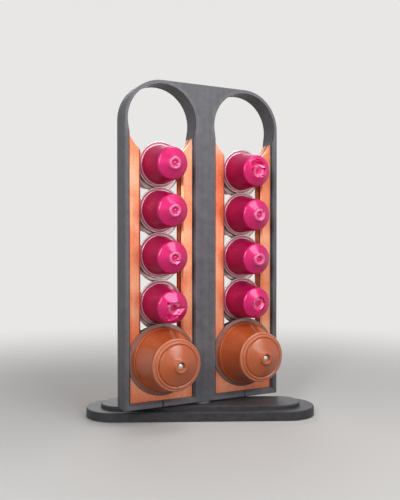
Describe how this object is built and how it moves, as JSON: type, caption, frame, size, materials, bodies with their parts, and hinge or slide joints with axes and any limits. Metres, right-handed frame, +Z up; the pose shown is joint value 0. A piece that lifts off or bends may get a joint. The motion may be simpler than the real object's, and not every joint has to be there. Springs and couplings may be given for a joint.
{
  "type": "coffee capsule holder",
  "caption": "Upright coffee capsule holder with keyhole slots, copper coloured face plates and stacked capsules, turning on an oval base.",
  "frame": {"origin": "on the swivel axis, at the surface that the foot pads stand on", "axes": "+X across the frame to its right column, +Y to its rear, +Z up the swivel axis; at rest the base is turned 25 degrees clockwise under the frame, as pictured"},
  "size_m": [0.1736, 0.1064, 0.2686],
  "materials": {
    "frame_plastic": "matte charcoal, fine printed layers",
    "base_plastic": "matte charcoal, fine printed layers",
    "collar_plastic": "satin grey",
    "copper_plate": "silky copper sheen",
    "pad_rubber": "matte",
    "bolt_steel": "plain zinc",
    "insert_brass": "machined",
    "small_cup_foil": "satin anodised magenta",
    "large_cup_plastic": "satin terracotta brown",
    "lid_foil": "plain foil"
  },
  "bodies": {
    "base": {"base_plate": "base_plastic", "foot_pad_1": "pad_rubber", "foot_pad_2": "pad_rubber", "foot_pad_3": "pad_rubber", "foot_pad_4": "pad_rubber"},
    "frame": {"frame": "frame_plastic", "swivel_collar": "collar_plastic", "pivot_bolt": "bolt_steel", "bolt_washer": "bolt_steel", "threaded_insert": "insert_brass", "front_left_face_plate": "copper_plate", "front_right_face_plate": "copper_plate", "rear_left_face_plate": "copper_plate", "rear_right_face_plate": "copper_plate"},
    "front_left_large": {"front_left_large_cup": "large_cup_plastic", "front_left_large_lid": "lid_foil"},
    "front_left_small_4": {"front_left_small_cup_4": "small_cup_foil", "front_left_small_lid_4": "lid_foil"},
    "front_left_small_3": {"front_left_small_cup_3": "small_cup_foil", "front_left_small_lid_3": "lid_foil"},
    "front_left_small_2": {"front_left_small_cup_2": "small_cup_foil", "front_left_small_lid_2": "lid_foil"},
    "front_left_small_1": {"front_left_small_cup_1": "small_cup_foil", "front_left_small_lid_1": "lid_foil"},
    "front_right_large": {"front_right_large_cup": "large_cup_plastic", "front_right_large_lid": "lid_foil"},
    "front_right_small_4": {"front_right_small_cup_4": "small_cup_foil", "front_right_small_lid_4": "lid_foil"},
    "front_right_small_3": {"front_right_small_cup_3": "small_cup_foil", "front_right_small_lid_3": "lid_foil"},
    "front_right_small_2": {"front_right_small_cup_2": "small_cup_foil", "front_right_small_lid_2": "lid_foil"},
    "front_right_small_1": {"front_right_small_cup_1": "small_cup_foil", "front_right_small_lid_1": "lid_foil"},
    "rear_left_large": {"rear_left_large_cup": "large_cup_plastic", "rear_left_large_lid": "lid_foil"},
    "rear_left_small_4": {"rear_left_small_cup_4": "small_cup_foil", "rear_left_small_lid_4": "lid_foil"},
    "rear_left_small_3": {"rear_left_small_cup_3": "small_cup_foil", "rear_left_small_lid_3": "lid_foil"},
    "rear_left_small_2": {"rear_left_small_cup_2": "small_cup_foil", "rear_left_small_lid_2": "lid_foil"},
    "rear_left_small_1": {"rear_left_small_cup_1": "small_cup_foil", "rear_left_small_lid_1": "lid_foil"},
    "rear_right_large": {"rear_right_large_cup": "large_cup_plastic", "rear_right_large_lid": "lid_foil"},
    "rear_right_small_4": {"rear_right_small_cup_4": "small_cup_foil", "rear_right_small_lid_4": "lid_foil"},
    "rear_right_small_3": {"rear_right_small_cup_3": "small_cup_foil", "rear_right_small_lid_3": "lid_foil"},
    "rear_right_small_2": {"rear_right_small_cup_2": "small_cup_foil", "rear_right_small_lid_2": "lid_foil"},
    "rear_right_small_1": {"rear_right_small_cup_1": "small_cup_foil", "rear_right_small_lid_1": "lid_foil"}
  },
  "joints": [
    {"name": "frame_swivel", "type": "hinge", "parent": "base", "child": "frame", "pos_m": [0, 0, 0], "axis": [0, 0, 1], "continuous": true},
    {"name": "front_left_large_lift", "type": "slide", "parent": "frame", "child": "front_left_large", "axis": [0, 0, 1], "range_m": [0, 0.0025]},
    {"name": "front_left_small_4_lift", "type": "slide", "parent": "front_left_large", "child": "front_left_small_4", "axis": [0, 0, 1], "range_m": [0, 0.0025]},
    {"name": "front_left_small_3_lift", "type": "slide", "parent": "front_left_small_4", "child": "front_left_small_3", "axis": [0, 0, 1], "range_m": [0, 0.0025]},
    {"name": "front_left_small_2_lift", "type": "slide", "parent": "front_left_small_3", "child": "front_left_small_2", "axis": [0, 0, 1], "range_m": [0, 0.0025]},
    {"name": "front_left_small_1_lift", "type": "slide", "parent": "front_left_small_2", "child": "front_left_small_1", "axis": [0, 0, 1], "range_m": [0, 0.0335]},
    {"name": "front_right_large_lift", "type": "slide", "parent": "frame", "child": "front_right_large", "axis": [0, 0, 1], "range_m": [0, 0.0025]},
    {"name": "front_right_small_4_lift", "type": "slide", "parent": "front_right_large", "child": "front_right_small_4", "axis": [0, 0, 1], "range_m": [0, 0.0025]},
    {"name": "front_right_small_3_lift", "type": "slide", "parent": "front_right_small_4", "child": "front_right_small_3", "axis": [0, 0, 1], "range_m": [0, 0.0025]},
    {"name": "front_right_small_2_lift", "type": "slide", "parent": "front_right_small_3", "child": "front_right_small_2", "axis": [0, 0, 1], "range_m": [0, 0.0025]},
    {"name": "front_right_small_1_lift", "type": "slide", "parent": "front_right_small_2", "child": "front_right_small_1", "axis": [0, 0, 1], "range_m": [0, 0.0355]},
    {"name": "rear_left_large_lift", "type": "slide", "parent": "frame", "child": "rear_left_large", "axis": [0, 0, 1], "range_m": [0, 0.0025]},
    {"name": "rear_left_small_4_lift", "type": "slide", "parent": "rear_left_large", "child": "rear_left_small_4", "axis": [0, 0, 1], "range_m": [0, 0.0025]},
    {"name": "rear_left_small_3_lift", "type": "slide", "parent": "rear_left_small_4", "child": "rear_left_small_3", "axis": [0, 0, 1], "range_m": [0, 0.0025]},
    {"name": "rear_left_small_2_lift", "type": "slide", "parent": "rear_left_small_3", "child": "rear_left_small_2", "axis": [0, 0, 1], "range_m": [0, 0.0025]},
    {"name": "rear_left_small_1_lift", "type": "slide", "parent": "rear_left_small_2", "child": "rear_left_small_1", "axis": [0, 0, 1], "range_m": [0, 0.0369]},
    {"name": "rear_right_large_lift", "type": "slide", "parent": "frame", "child": "rear_right_large", "axis": [0, 0, 1], "range_m": [0, 0.0025]},
    {"name": "rear_right_small_4_lift", "type": "slide", "parent": "rear_right_large", "child": "rear_right_small_4", "axis": [0, 0, 1], "range_m": [0, 0.0025]},
    {"name": "rear_right_small_3_lift", "type": "slide", "parent": "rear_right_small_4", "child": "rear_right_small_3", "axis": [0, 0, 1], "range_m": [0, 0.0025]},
    {"name": "rear_right_small_2_lift", "type": "slide", "parent": "rear_right_small_3", "child": "rear_right_small_2", "axis": [0, 0, 1], "range_m": [0, 0.0025]},
    {"name": "rear_right_small_1_lift", "type": "slide", "parent": "rear_right_small_2", "child": "rear_right_small_1", "axis": [0, 0, 1], "range_m": [0, 0.0389]}
  ]
}
